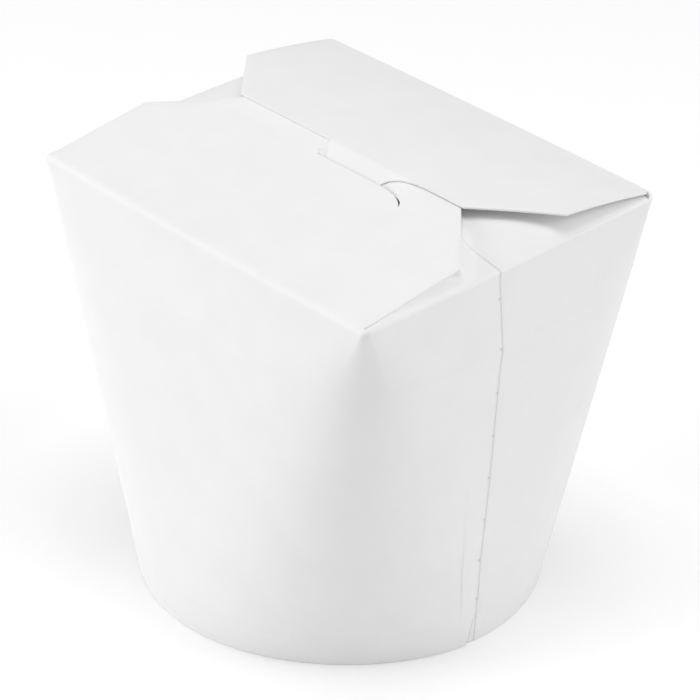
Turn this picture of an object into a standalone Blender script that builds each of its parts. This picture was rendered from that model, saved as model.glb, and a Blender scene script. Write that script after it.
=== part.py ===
"""Shut paperboard food carton: round foot, rectangular top, two flaps locked over two side gussets.

Origin at the centre of the foot on the surface it stands on. X runs along the two main folds,
+Y points from the lower flap's fold to the upper flap's fold, +Z is up. All lengths in metres.
"""
import math

import bmesh
import bpy
import numpy as np

MM = 0.001

# Carton body
TOP_HALF_X = 51.0 * MM
TOP_HALF_Y = 43.0 * MM
FOLD_HEIGHT = 96.5 * MM
TOP_CORNER_RADIUS = 1.5 * MM
FOOT_RADIUS = 47.55 * MM
FOOT_SQUARENESS = 0.010

# Walls between foot and top: the side walls bulge a little, and the board's stiffness spreads
# every bend along its cross-section, the more the further it is from the folds and the foot
SIDE_BULGE = 0.7 * MM
BULGE_SKEW = 1.38
BEND_SPREAD = 9.0 * MM
SPREAD_BELOW_FOLD = 50.0 * MM
SPREAD_ABOVE_FOOT = 60.0 * MM
CORNER_DIRECTION = math.radians(46.3)
OUTLINE_STEPS = 320
EVEN_STEPS = 720

# Folds round the top: how far each crown stands over FOLD_HEIGHT, and its rounding
NEAR_CROWN = 0.5 * MM
FAR_CROWN = 1.5 * MM
SIDE_CROWN = 0.25 * MM
MAIN_FOLD_RADIUS = 1.6 * MM
SIDE_FOLD_RADIUS = 0.8 * MM

# Glued lap down the +X wall
LAP_Y_AT_TOP = -4.6 * MM
LAP_Y_AT_FOOT = -5.2 * MM
LAP_STEP = 0.42 * MM

# Board
BOARD = 0.45 * MM
CLEARANCE = 0.15 * MM

# Foot: standing rim and the base disc set up inside it
RIM_WIDTH = 1.4 * MM
RIM_EDGE_ROUND = 0.3 * MM
RECESS_DEPTH = 7.3 * MM
DISC_GAP = 0.3 * MM
DISC_THICKNESS = 0.5 * MM

# Flaps: half width, length of the straight sides, then a 45 degree chamfer. Each rises from its
# fold with a slope that eases off by twice the curvature for each metre.
NEAR_HALF_WIDTH = 49.8 * MM
NEAR_SIDE_LENGTH = 28.0 * MM
NEAR_LENGTH = 50.0 * MM
NEAR_SLOPE = 0.155
NEAR_CURVATURE = 0.8
FAR_HALF_WIDTH = 50.2 * MM
FAR_SIDE_LENGTH = 27.4 * MM
FAR_LENGTH = 42.5 * MM
FAR_SLOPE = 0.215
FAR_CURVATURE = 2.2

# Slit in the lower flap, and the creases on either side of it
SLIT_LEFT_X = -5.2 * MM
SLIT_RIGHT_X = 24.0 * MM
SLIT_DISTANCE = 38.9 * MM
SLIT_BEND_X = 14.5 * MM
LEFT_CREASE_DISTANCE = 39.6 * MM
RIGHT_CREASE_DISTANCE = 34.0 * MM
LEFT_STRIP_SLOPE = 0.17
RIGHT_STRIP_SLOPE = 0.14

# Tongue of the upper flap
TONGUE_LEFT_X = -3.4 * MM
TONGUE_RIGHT_X = 14.0 * MM
TONGUE_SHOULDER_X = 26.0 * MM
TONGUE_SHOULDER_DEPTH = 4.5 * MM
TONGUE_LENGTH = 8.5 * MM
TONGUE_SLOPE = 0.56
TONGUE_BEND = 0.75 * MM

# Side gussets: low beside the lower flap, twisted up towards the upper flap. Their web stands up
# along the lower flap's side edges.
GUSSET_REACH = 20.5 * MM
GUSSET_RISE = 4.2 * MM
GUSSET_LOW_SLOPE = 0.10
GUSSET_HIGH_SLOPE = 1.0
GUSSET_TWIST_Y = (-4.0 * MM, 27.0 * MM)
GUSSET_UNDER_FAR = 0.3 * MM
WEB_FADE_Y = (-17.0 * MM, -12.5 * MM)
WEB_SPREAD = 0.45 * MM
GUSSET_LAP_Y = (-14.0 * MM, -11.0 * MM)
GUSSET_LAP_START = 0.8 * MM
GUSSET_BLOCK_DEPTH = 2.0 * MM

# Mesh fineness
SIDE_SHARE = 0.4
SIDE_COLUMNS = 8
CORNER_COLUMNS = 12
WALL_SHARES = (0.0, 0.06, 0.14, 0.23, 0.32, 0.42, 0.52, 0.62, 0.72, 0.81, 0.885, 0.94, 0.975, 1.0)
FOLD_ROWS = 4
EDGE_BOW = math.radians(1.0)
LAP_START_COLUMN = 0.25 * SIDE_SHARE
LAP_REACH = 0.45
SHEET_START = 0.3 * MM
NEAR_ROW_SHARES = (0.0, 0.04, 0.25, 0.5)
STRIP_ROW_SHARES = (0.0, 0.15, 0.35, 0.6, 1.0)
FAR_ROW_SHARES = (0.0, 0.04, 0.16, 0.33, 0.48)
FAR_CHAMFER_ROWS = 3
TONGUE_ROW_SHARES = (0.0, 0.018, 0.06, 0.13, 0.235, 0.376, 0.53, 0.765, 1.0)
DISC_SIDES = 72
GUSSET_INWARD = (0.0, 0.25, 0.6, 1.2, 2.2, 3.6, 5.5, 8.0, 11.0, 15.0, 20.5)
SHARP_ANGLE = math.radians(25.0)
WELD = 1e-6


def clear_scene():
    for item in list(bpy.data.objects):
        bpy.data.objects.remove(item, do_unlink=True)


def board_material(name, colour, roughness):
    material = bpy.data.materials.new(name)
    material.use_nodes = True
    surface = material.node_tree.nodes["Principled BSDF"]
    surface.inputs["Base Color"].default_value = (*colour, 1.0)
    surface.inputs["Roughness"].default_value = roughness
    surface.inputs["Metallic"].default_value = 0.0
    return material


def object_from_bmesh(mesh_data, name):
    bmesh.ops.remove_doubles(mesh_data, verts=mesh_data.verts, dist=WELD)
    bmesh.ops.triangulate(mesh_data, faces=mesh_data.faces)
    bmesh.ops.recalc_face_normals(mesh_data, faces=mesh_data.faces)
    mesh = bpy.data.meshes.new(name)
    mesh_data.to_mesh(mesh)
    mesh_data.free()
    item = bpy.data.objects.new(name, mesh)
    bpy.context.scene.collection.objects.link(item)
    return item


def smoothstep(value):
    value = min(1.0, max(0.0, value))
    return value * value * (3.0 - 2.0 * value)


# Outlines of the top and the foot, by direction of their outward normal

def foot_point(normal_angle):
    """Point of the slightly squarish foot outline whose outward normal has the given direction."""
    angles = np.linspace(-0.1, 2.0 * math.pi + 0.1, 4001)
    swing = 4.0 * FOOT_SQUARENESS * np.sin(4.0 * angles) / (1.0 + FOOT_SQUARENESS * np.cos(4.0 * angles))
    angle = np.interp(normal_angle, angles + np.arctan(swing), angles)
    radius = FOOT_RADIUS * (1.0 + FOOT_SQUARENESS * math.cos(4.0 * angle))
    return np.array([radius * math.cos(angle), radius * math.sin(angle)])


def top_point(quarter, share):
    """Point and normal direction of the top outline: a faintly bowed side, then a round corner."""
    out_distance, half_length = ((TOP_HALF_X, TOP_HALF_Y), (TOP_HALF_Y, TOP_HALF_X))[quarter % 2]
    centre_out = out_distance - TOP_CORNER_RADIUS
    centre_along = half_length - TOP_CORNER_RADIUS
    if share < SIDE_SHARE:
        local = EDGE_BOW * (2.0 * share / SIDE_SHARE - 1.0)
        bow_radius = centre_along / math.sin(EDGE_BOW) + TOP_CORNER_RADIUS
        end_out = centre_out + TOP_CORNER_RADIUS * math.cos(EDGE_BOW)
        out = end_out + bow_radius * (math.cos(local) - math.cos(EDGE_BOW))
        along = bow_radius * math.sin(local)
    else:
        corner_share = (share - SIDE_SHARE) / (1.0 - SIDE_SHARE)
        local = EDGE_BOW + corner_share * (math.pi / 2.0 - 2.0 * EDGE_BOW)
        out = centre_out + TOP_CORNER_RADIUS * math.cos(local)
        along = centre_along + TOP_CORNER_RADIUS * math.sin(local)
    side = quarter * math.pi / 2.0
    outward = np.array([math.cos(side), math.sin(side)])
    sideways = np.array([-math.sin(side), math.cos(side)])
    return out * outward + along * sideways, (side + local) % (2.0 * math.pi)


def crown_height(normal_angle):
    end_share = math.cos(normal_angle) ** 2
    main = FAR_CROWN if math.sin(normal_angle) > 0.0 else NEAR_CROWN
    return FOLD_HEIGHT + SIDE_CROWN * end_share + main * (1.0 - end_share)


def fold_radius(normal_angle):
    end_share = math.cos(normal_angle) ** 2
    return SIDE_FOLD_RADIUS * end_share + MAIN_FOLD_RADIUS * (1.0 - end_share)


# Walls

def end_outlines():
    """Dense outlines of the foot and the top, column by column, with their shared normals."""
    columns = np.arange(OUTLINE_STEPS) * 4.0 / OUTLINE_STEPS - 1.0
    foot, top, normals = [], [], []
    for column in columns:
        place, normal_angle = top_point(int(column // 1) % 4, column % 1.0)
        top.append(place)
        foot.append(foot_point(normal_angle))
        normals.append((math.cos(normal_angle), math.sin(normal_angle)))
    return np.array(foot), np.array(top), np.array(normals)


def side_bulge(places, height_share):
    """How far each place stands out: most in the middle of the two side walls."""
    angles = np.arctan2(np.abs(places[:, 1]), np.abs(places[:, 0]))
    share = np.minimum(1.0, angles / math.atan2(TOP_HALF_Y, TOP_HALF_X))
    return SIDE_BULGE * math.sin(math.pi * height_share ** BULGE_SKEW) * (1.0 - share ** 2)


def spread_bends(places, spread):
    """Closed outline with its bends spread along its length by a bell curve."""
    if spread < WELD:
        return places
    closed = np.vstack([places, places[:1]])
    along = np.concatenate([[0.0], np.cumsum(np.hypot(*np.diff(closed, axis=0).T))])
    length = along[-1]
    even = np.arange(EVEN_STEPS + 1) * length / EVEN_STEPS
    line = np.interp(even, along, closed[:, 0]) + 1j * np.interp(even, along, closed[:, 1])
    waves = np.fft.fftfreq(EVEN_STEPS, length / EVEN_STEPS)
    eased = np.fft.ifft(np.fft.fft(line[:-1]) * np.exp(-2.0 * (math.pi * waves * spread) ** 2))
    eased = np.append(eased, eased[0])
    x = np.interp(along[:-1], even, eased.real)
    return np.stack([x, np.interp(along[:-1], even, eased.imag)], axis=1)


def wall_outline(height_share):
    """Dense outline of the walls at this height, scaled to keep its reach at the corners."""
    foot, top, normals = ENDS
    straight = foot * (1.0 - height_share) + top * height_share
    bulged = straight + normals * side_bulge(straight, height_share)[:, None]
    below, above = SPREAD_BELOW_FOLD * (1.0 - height_share), SPREAD_ABOVE_FOOT * height_share
    eased = spread_bends(bulged, min(BEND_SPREAD, below, above))
    corner = np.array([math.cos(CORNER_DIRECTION), math.sin(CORNER_DIRECTION)])
    return eased * (straight @ corner).max() / (eased @ corner).max()


def straight_wall_point(column, height_share):
    """Place on the wall before its lap, the outward normal there and the column's normal angle."""
    key = round(height_share, 9)
    if key not in OUTLINES:
        OUTLINES[key] = wall_outline(height_share)
    outline = OUTLINES[key]
    position = ((column + 1.0) % 4.0) * OUTLINE_STEPS / 4.0
    index = int(position)
    before, here, after, later = [outline[(index + step) % OUTLINE_STEPS] for step in (-1, 0, 1, 2)]
    place = here + (after - here) * (position - index)
    tangent = (after - before) * (1.0 - position + index) + (later - here) * (position - index)
    normal = np.array([tangent[1], -tangent[0]]) / np.linalg.norm(tangent)
    return place, normal, top_point(int(column // 1) % 4, column % 1.0)[1]


def wall_point(column, height_share, lap_offset=0.0):
    point, normal, normal_angle = straight_wall_point(column, height_share)
    ceiling = crown_height(normal_angle) - fold_radius(normal_angle)
    point = point + normal * lap_offset
    return np.array([point[0], point[1], ceiling * height_share])


def lap_column(height_share):
    """Column at which the +X wall crosses the lap's line at this height."""
    columns = np.linspace(-0.5, 0.5 + SIDE_SHARE, 181)
    across = [straight_wall_point(column % 4.0, height_share)[0][1] for column in columns]
    wanted = LAP_Y_AT_FOOT + (LAP_Y_AT_TOP - LAP_Y_AT_FOOT) * height_share
    return float(np.interp(wanted, across, columns))


def quarter_columns():
    sides = [SIDE_SHARE * i / SIDE_COLUMNS for i in range(SIDE_COLUMNS)]
    corners = [SIDE_SHARE + (1.0 - SIDE_SHARE) * i / CORNER_COLUMNS for i in range(CORNER_COLUMNS)]
    return sides + corners


def ring_columns(height_share):
    """Columns of one ring with their lap offsets; one column follows the lap and stands double."""
    plain = [quarter + share for quarter in range(-1, 3) for share in quarter_columns()]
    lap_start = min(plain, key=lambda column: abs(column - LAP_START_COLUMN))
    shift = lap_column(height_share) - lap_start
    moved = []
    for column in plain:
        pull = max(0.0, 1.0 - abs(column - lap_start) / LAP_REACH)
        place = column + shift * pull
        if column <= lap_start:
            moved.append((place, LAP_STEP * smoothstep(pull)))
        if column >= lap_start:
            moved.append((place, 0.0))
    return moved


def body_rings():
    """Closed stack of rings: foot rim, walls, rounded folds."""
    rings = []
    for share in WALL_SHARES:
        ring = [wall_point(column % 4.0, share, lap) for column, lap in ring_columns(share)]
        if share == 0.0:
            ring = [point + np.array([0.0, 0.0, RIM_EDGE_ROUND]) for point in ring]
        rings.append(ring)
    for row in range(1, FOLD_ROWS + 1):
        turn = 0.5 * math.pi * row / FOLD_ROWS
        ring = []
        for column, lap in ring_columns(1.0):
            point, normal, normal_angle = straight_wall_point(column % 4.0, 1.0)
            radius = fold_radius(normal_angle)
            inward = radius * (1.0 - math.cos(turn)) - lap
            flat = point - normal * inward
            ring.append(np.array([*flat, crown_height(normal_angle) - radius * (1.0 - math.sin(turn))]))
        rings.append(ring)
    return rings


def rim_rings():
    """Rings under the foot, outside to inside: standing rim, then the recess."""
    rings = []
    for inset, height in ((RIM_EDGE_ROUND, 0.0), (RIM_WIDTH, 0.0), (RIM_WIDTH, RECESS_DEPTH)):
        ring = []
        for column, _ in ring_columns(0.0):
            point, normal, _ = straight_wall_point(column % 4.0, 0.0)
            ring.append(np.array([*(point - normal * inset), height]))
        rings.append(ring)
    return rings


def build_body():
    rings = rim_rings()[::-1] + body_rings()
    mesh_data = bmesh.new()
    rows = [[mesh_data.verts.new(point) for point in ring] for ring in rings]
    for low, high in zip(rows, rows[1:]):
        for index in range(len(low)):
            after = (index + 1) % len(low)
            mesh_data.faces.new((low[index], low[after], high[after], high[index]))
    for ring, height in ((rows[0], RECESS_DEPTH), (rows[-1], FOLD_HEIGHT + SIDE_CROWN)):
        hub = mesh_data.verts.new((0.0, 0.0, height))
        for index in range(len(ring)):
            mesh_data.faces.new((ring[index], ring[(index + 1) % len(ring)], hub))
    return object_from_bmesh(mesh_data, "carton")


# Flaps: sheets of board whose upper face is worked out point by point

def chamfered_half_width(distance, half_width, side_length):
    return half_width - max(0.0, distance - side_length)


def near_surface(distance):
    """Height of the lower flap's upper face over FOLD_HEIGHT, at a distance from its fold."""
    run = distance - MAIN_FOLD_RADIUS
    return NEAR_CROWN + NEAR_SLOPE * run - NEAR_CURVATURE * run * run


def far_surface(distance):
    """The same for the upper flap, which bows and then dives down its tongue."""
    run = min(distance, FAR_LENGTH) - MAIN_FOLD_RADIUS
    height = FAR_CROWN + FAR_SLOPE * run - FAR_CURVATURE * run * run
    past = max(0.0, distance - FAR_LENGTH)
    return height - TONGUE_SLOPE * (past - TONGUE_BEND * (1.0 - math.exp(-past / TONGUE_BEND)))


def far_distance(near_distance):
    """Distance from the upper flap's fold of a point at this distance from the lower flap's fold."""
    return 2.0 * TOP_HALF_Y - near_distance


def slit_line(x):
    """Distance from the lower flap's fold to its creases and slit."""
    if x <= SLIT_LEFT_X:
        return LEFT_CREASE_DISTANCE
    if x >= SLIT_RIGHT_X:
        return RIGHT_CREASE_DISTANCE
    if x <= SLIT_BEND_X:
        return SLIT_DISTANCE
    turn = (x - SLIT_BEND_X) / (SLIT_RIGHT_X - SLIT_BEND_X)
    drop = 1.0 - math.sqrt(max(0.0, 1.0 - turn ** 2))
    return SLIT_DISTANCE - (SLIT_DISTANCE - RIGHT_CREASE_DISTANCE) * drop


def slit_gap(x):
    """Sideways and lengthways distance between the two lips of the slit, square to its line."""
    turn = max(0.0, (x - SLIT_BEND_X) / (SLIT_RIGHT_X - SLIT_BEND_X))
    across = turn / (SLIT_RIGHT_X - SLIT_BEND_X)
    along = math.sqrt(1.0 - turn * turn) / (SLIT_DISTANCE - RIGHT_CREASE_DISTANCE)
    gap = CLEARANCE * min(1.0, (SLIT_RIGHT_X - x) / (2.0 * CLEARANCE)) / math.hypot(across, along)
    return gap * across, gap * along


def strip_surface(x, distance):
    """Height of the lower flap past its creases, where it lies under the upper flap."""
    left = near_surface(LEFT_CREASE_DISTANCE) + LEFT_STRIP_SLOPE * (distance - LEFT_CREASE_DISTANCE)
    right = near_surface(RIGHT_CREASE_DISTANCE) + RIGHT_STRIP_SLOPE * (distance - RIGHT_CREASE_DISTANCE)
    far = far_distance(distance)
    under_tongue = far_surface(far) - BOARD - CLEARANCE
    under_panel = far_surface(min(far, FAR_LENGTH)) - BOARD - CLEARANCE
    pressed = smoothstep((x - SLIT_LEFT_X) / (TONGUE_LEFT_X - SLIT_LEFT_X - 2.0 * CLEARANCE))
    released = smoothstep((x - SLIT_BEND_X) / (SLIT_RIGHT_X - SLIT_BEND_X))
    middle = left + (under_tongue - left) * pressed
    return min(middle + (right - middle) * released, under_panel)


def junction_columns():
    left_end = -chamfered_half_width(LEFT_CREASE_DISTANCE, NEAR_HALF_WIDTH, NEAR_SIDE_LENGTH)
    right_end = chamfered_half_width(RIGHT_CREASE_DISTANCE, NEAR_HALF_WIDTH, NEAR_SIDE_LENGTH)
    left = list(np.linspace(left_end, SLIT_LEFT_X, 8))
    press = list(np.linspace(SLIT_LEFT_X, TONGUE_LEFT_X, 5))[1:]
    straight = list(np.linspace(TONGUE_LEFT_X, SLIT_BEND_X, 6))[1:]
    turns = [math.sin(0.5 * math.pi * i / 8) for i in range(1, 9)]
    curve = [SLIT_BEND_X + (SLIT_RIGHT_X - SLIT_BEND_X) * turn for turn in turns]
    right = list(np.linspace(SLIT_RIGHT_X, right_end, 6))[1:]
    return left + press + straight + curve + right


def near_point(crossing, distance, height):
    """Point of the column that crosses the creases and slit at x = crossing."""
    side = math.copysign(1.0, crossing)
    anchor = SLIT_RIGHT_X if crossing > 0.0 else SLIT_LEFT_X
    crease = RIGHT_CREASE_DISTANCE if crossing > 0.0 else LEFT_CREASE_DISTANCE
    x = crossing
    if side * crossing > side * anchor:
        crease_edge = side * chamfered_half_width(crease, NEAR_HALF_WIDTH, NEAR_SIDE_LENGTH)
        edge = side * chamfered_half_width(distance, NEAR_HALF_WIDTH, NEAR_SIDE_LENGTH)
        x = anchor + (edge - anchor) * (crossing - anchor) / (crease_edge - anchor)
    return np.array([x, distance - TOP_HALF_Y, FOLD_HEIGHT + height])


def near_grids():
    """The lower flap: a panel up to its creases and slit, and the strip past them."""
    start = MAIN_FOLD_RADIUS + SHEET_START
    chamfer_rows = [(NEAR_SIDE_LENGTH - start) / (crease - start)
                    for crease in (LEFT_CREASE_DISTANCE, RIGHT_CREASE_DISTANCE)]
    row_shares = [*NEAR_ROW_SHARES, *chamfer_rows, 1.0]
    panel, strip = [], []
    for crossing in junction_columns():
        edge = slit_line(crossing)
        line = []
        for along in row_shares:
            distance = start + (edge - start) * along
            sunk = CLEARANCE if along == 0.0 else 0.0
            line.append(near_point(crossing, distance, near_surface(distance) - sunk))
        panel.append(line)
        cut = SLIT_LEFT_X < crossing < SLIT_RIGHT_X
        aside, beyond = slit_gap(crossing) if cut else (0.0, 0.0)
        first = edge + beyond
        line = []
        for along in STRIP_ROW_SHARES:
            distance = first + (NEAR_LENGTH - first) * along
            point = near_point(crossing + aside, distance, 0.0)
            attached = along == 0.0 and not cut
            point[2] += near_surface(edge) if attached else strip_surface(point[0], distance)
            line.append(point)
        strip.append(line)
    return [panel, strip]


def far_point(x, distance):
    return np.array([x, TOP_HALF_Y - distance, FOLD_HEIGHT + far_surface(distance)])


def tongue_right_edge(past):
    if past >= TONGUE_SHOULDER_DEPTH:
        return TONGUE_RIGHT_X
    turn = 1.0 - past / TONGUE_SHOULDER_DEPTH
    return TONGUE_SHOULDER_X - (TONGUE_SHOULDER_X - TONGUE_RIGHT_X) * math.sqrt(1.0 - turn * turn)


def far_grids():
    """The upper flap: its panel up to the free edge, and the tongue that dives into the slit."""
    end_x = chamfered_half_width(FAR_LENGTH, FAR_HALF_WIDTH, FAR_SIDE_LENGTH)
    tongue_columns = list(np.linspace(TONGUE_LEFT_X, TONGUE_SHOULDER_X, 12))
    left = list(np.linspace(-end_x, TONGUE_LEFT_X, 8))[:-1]
    right = list(np.linspace(TONGUE_SHOULDER_X, end_x, 3))[1:]
    columns = left + tongue_columns + right
    start = MAIN_FOLD_RADIUS + SHEET_START
    straight_rows = [start + (FAR_LENGTH - start) * share for share in FAR_ROW_SHARES]
    rows = straight_rows + list(np.linspace(FAR_SIDE_LENGTH, FAR_LENGTH, FAR_CHAMFER_ROWS + 1))
    panel = []
    for x in columns:
        share = x / end_x
        line = []
        for distance in rows:
            half = chamfered_half_width(distance, FAR_HALF_WIDTH, FAR_SIDE_LENGTH)
            point = far_point(share * half, distance)
            if distance == start:
                point[2] -= CLEARANCE
            line.append(point)
        panel.append(line)
    tongue = []
    for x in tongue_columns:
        share = (x - TONGUE_LEFT_X) / (TONGUE_SHOULDER_X - TONGUE_LEFT_X)
        line = []
        for row_share in TONGUE_ROW_SHARES:
            past = TONGUE_LENGTH * row_share
            place = TONGUE_LEFT_X + (tongue_right_edge(past) - TONGUE_LEFT_X) * share
            line.append(far_point(place, FAR_LENGTH + past))
        tongue.append(line)
    return [panel, tongue]


def sheet_from_grids(grids, name):
    """Board of even thickness under the surface that the grids share."""
    index_of = {}
    points = []
    quads = []

    def index(point):
        key = tuple(np.round(point / WELD).astype(int))
        if key not in index_of:
            index_of[key] = len(points)
            points.append(point)
        return index_of[key]

    for grid in grids:
        for here, after in zip(grid, grid[1:]):
            for row in range(len(here) - 1):
                quads.append([index(p) for p in (here[row], after[row], after[row + 1], here[row + 1])])
    mesh_data = bmesh.new()
    upper = [mesh_data.verts.new(point) for point in points]
    lower = [mesh_data.verts.new(point - np.array([0.0, 0.0, BOARD])) for point in points]
    uses = {}
    for quad in quads:
        mesh_data.faces.new([upper[i] for i in quad])
        mesh_data.faces.new([lower[i] for i in reversed(quad)])
        for first, second in zip(quad, quad[1:] + quad[:1]):
            uses.setdefault(frozenset((first, second)), []).append((first, second))
    for sides in uses.values():
        if len(sides) == 1:
            first, second = sides[0]
            mesh_data.faces.new((upper[second], upper[first], lower[first], lower[second]))
    return object_from_bmesh(mesh_data, name)


# Gussets: folded in from the sides, under both flaps

def gusset_lap(inward, y):
    """The glued lap carries on over the fold and a little way in."""
    if y > LAP_Y_AT_TOP:
        return 0.0
    low, high = GUSSET_LAP_Y
    return LAP_STEP * smoothstep((y - low) / (high - low)) * smoothstep(inward / GUSSET_LAP_START)


def gusset_height(inward, y):
    """Height of a gusset over FOLD_HEIGHT at a distance inward from its fold."""
    under_near = near_surface(min(y + TOP_HALF_Y, RIGHT_CREASE_DISTANCE)) - BOARD - 2.0 * CLEARANCE
    under_far = far_surface(TOP_HALF_Y - y) - BOARD - GUSSET_UNDER_FAR
    ceiling = max(WELD, min(GUSSET_RISE, under_far - SIDE_CROWN))
    low, high = GUSSET_TWIST_Y
    slope = GUSSET_LOW_SLOPE + (GUSSET_HIGH_SLOPE - GUSSET_LOW_SLOPE) * smoothstep((y - low) / (high - low))
    rise = ceiling * (1.0 - math.exp(-slope * inward / ceiling))
    full, end = WEB_FADE_Y
    web = 1.0 - smoothstep((y - full) / (end - full))
    lift = max(0.0, under_near - SIDE_CROWN - rise) * web * (1.0 - math.exp(-inward / WEB_SPREAD))
    if y < full:
        return SIDE_CROWN + min(rise + lift, max(0.0, under_near - SIDE_CROWN))
    return SIDE_CROWN + rise + lift


def gusset_block(direction):
    """Block under a gusset's surface, its foot sunk into the body."""
    reach = TOP_HALF_Y - MAIN_FOLD_RADIUS
    outer = TOP_HALF_X - SIDE_FOLD_RADIUS
    stations = list(np.linspace(-reach, reach, 23))
    if direction > 0.0:
        stations = [y for y in stations if abs(y - LAP_Y_AT_TOP) > MM]
        stations += [LAP_Y_AT_TOP - 0.5 * CLEARANCE, LAP_Y_AT_TOP + 0.5 * CLEARANCE]
    top = []
    for y in sorted(stations):
        line = []
        for distance in GUSSET_INWARD:
            inward = distance * MM
            lap = gusset_lap(inward, y) if direction > 0.0 else 0.0
            height = gusset_height(inward, y) + lap - WELD
            line.append(np.array([direction * (outer - inward), y, FOLD_HEIGHT + height]))
        top.append(line)
    mesh_data = bmesh.new()
    bottom = FOLD_HEIGHT - GUSSET_BLOCK_DEPTH
    upper = [[mesh_data.verts.new(point) for point in line] for line in top]
    lower = [[mesh_data.verts.new((point[0], point[1], bottom)) for point in line] for line in top]
    last_line, last_row = len(upper) - 1, len(GUSSET_INWARD) - 1
    for line in range(last_line):
        for row in range(last_row):
            for grid in (upper, lower):
                mesh_data.faces.new((grid[line][row], grid[line + 1][row],
                                     grid[line + 1][row + 1], grid[line][row + 1]))
        for row in (0, last_row):
            mesh_data.faces.new((upper[line][row], upper[line + 1][row],
                                 lower[line + 1][row], lower[line][row]))
    for row in range(last_row):
        for line in (0, last_line):
            mesh_data.faces.new((upper[line][row], upper[line][row + 1],
                                 lower[line][row + 1], lower[line][row]))
    return object_from_bmesh(mesh_data, "gusset")


def build_gussets():
    return [gusset_block(side) for side in (1.0, -1.0)]


def fuse(body, pieces):
    """Join every piece to the body in one union, and remove the pieces."""
    group = bpy.data.collections.new("fused")
    bpy.context.scene.collection.children.link(group)
    for piece in pieces:
        bpy.context.scene.collection.objects.unlink(piece)
        group.objects.link(piece)
    union = body.modifiers.new("union", "BOOLEAN")
    union.operation = "UNION"
    union.operand_type = "COLLECTION"
    union.collection = group
    union.solver = "EXACT"
    bpy.context.view_layer.update()
    graph = bpy.context.evaluated_depsgraph_get()
    joined = bpy.data.meshes.new_from_object(body.evaluated_get(graph))
    body.modifiers.remove(union)
    body.data = joined
    for piece in pieces:
        bpy.data.objects.remove(piece, do_unlink=True)
    bpy.data.collections.remove(group)


def tidy_mesh(item):
    mesh_data = bmesh.new()
    mesh_data.from_mesh(item.data)
    bmesh.ops.remove_doubles(mesh_data, verts=mesh_data.verts, dist=WELD)
    bmesh.ops.dissolve_degenerate(mesh_data, edges=mesh_data.edges, dist=WELD)
    bmesh.ops.triangulate(mesh_data, faces=mesh_data.faces)
    mesh_data.to_mesh(item.data)
    mesh_data.free()


def build_carton():
    body = build_body()
    pieces = [sheet_from_grids(near_grids(), "near_flap"), sheet_from_grids(far_grids(), "far_flap")]
    pieces += build_gussets()
    fuse(body, pieces)
    tidy_mesh(body)
    body.data.materials.clear()
    body.data.materials.append(board_material("white_board", (0.88, 0.88, 0.88), 0.55))
    body.data.shade_smooth()
    body.data.set_sharp_from_angle(angle=SHARP_ANGLE)
    return body


def build_base_disc():
    """Flat plate of board set up inside the foot, clear of the rim all round."""
    mesh_data = bmesh.new()
    top_height = RECESS_DEPTH - DISC_GAP
    outline = []
    for index in range(DISC_SIDES):
        normal_angle = 2.0 * math.pi * index / DISC_SIDES
        normal = np.array([math.cos(normal_angle), math.sin(normal_angle)])
        outline.append(foot_point(normal_angle) - normal * (RIM_WIDTH + DISC_GAP))
    low = [mesh_data.verts.new((*point, top_height - DISC_THICKNESS)) for point in outline]
    high = [mesh_data.verts.new((*point, top_height)) for point in outline]
    for index in range(DISC_SIDES):
        after = (index + 1) % DISC_SIDES
        mesh_data.faces.new((low[index], low[after], high[after], high[index]))
    mesh_data.faces.new(low[::-1])
    mesh_data.faces.new(high)
    disc = object_from_bmesh(mesh_data, "base_disc")
    disc.data.materials.append(board_material("base_board", (0.84, 0.84, 0.83), 0.65))
    return disc


OUTLINES = {}
ENDS = end_outlines()


def main():
    clear_scene()
    build_carton()
    build_base_disc()


main()
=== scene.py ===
"""Looks of a shut white paperboard noodle box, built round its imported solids.

The box is one sheet of board: walls drawn up from the foot, folded over the top into two flaps
and two side gussets, and given its thickness at the end. A separate round base board is set up
inside the foot. Lengths in metres, +Z up, the foot's centre at the origin.
"""
import math

import bmesh
import bpy
import numpy as np
from mathutils import Matrix, Vector


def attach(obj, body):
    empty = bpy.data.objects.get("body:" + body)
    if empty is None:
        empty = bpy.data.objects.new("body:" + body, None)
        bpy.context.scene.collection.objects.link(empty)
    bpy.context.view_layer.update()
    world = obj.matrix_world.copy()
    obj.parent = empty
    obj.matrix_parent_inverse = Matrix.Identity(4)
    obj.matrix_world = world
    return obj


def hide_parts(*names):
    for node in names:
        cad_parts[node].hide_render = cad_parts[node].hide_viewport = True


MM = 0.001

# Box, as in the solids
TOP_HALF_X = 51.0 * MM
TOP_HALF_Y = 43.0 * MM
FOLD_HEIGHT = 96.5 * MM
TOP_CORNER_RADIUS = 1.5 * MM
FOOT_RADIUS = 47.55 * MM
FOOT_SQUARENESS = 0.010
SIDE_BULGE = 0.7 * MM
BULGE_SKEW = 1.38
BEND_SPREAD = 9.0 * MM
SPREAD_BELOW_FOLD = 50.0 * MM
SPREAD_ABOVE_FOOT = 60.0 * MM
CORNER_DIRECTION = math.radians(46.3)
OUTLINE_STEPS = 640
EVEN_STEPS = 1440
EDGE_BOW = math.radians(1.0)
SIDE_SHARE = 0.4

# Board: its thickness, the air between touching parts, and how its cut edges are rounded
BOARD = 0.45 * MM
CLEARANCE = 0.15 * MM
TOUCH = 0.03 * MM
TOP_EDGE_ROUND = 0.16 * MM
UNDER_EDGE_ROUND = 0.04 * MM
SQUARE_NEAR_SLIT_END = 1.6 * MM
SQUARE_NEAR_FOLD = 2.2 * MM
SMOOTH_ANGLE = math.radians(35.0)
MERGE_DISTANCE = 0.002 * MM
WELD = 0.001 * MM

# Columns of points round the ring
CORNER_COLUMNS = 26
RIGHT_COLUMNS = 24
LEFT_COLUMNS = 72
LEFT_OUT_BEFORE_LAP = 2.9
LEFT_OUT_AFTER_LAP = 1.9

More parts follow.
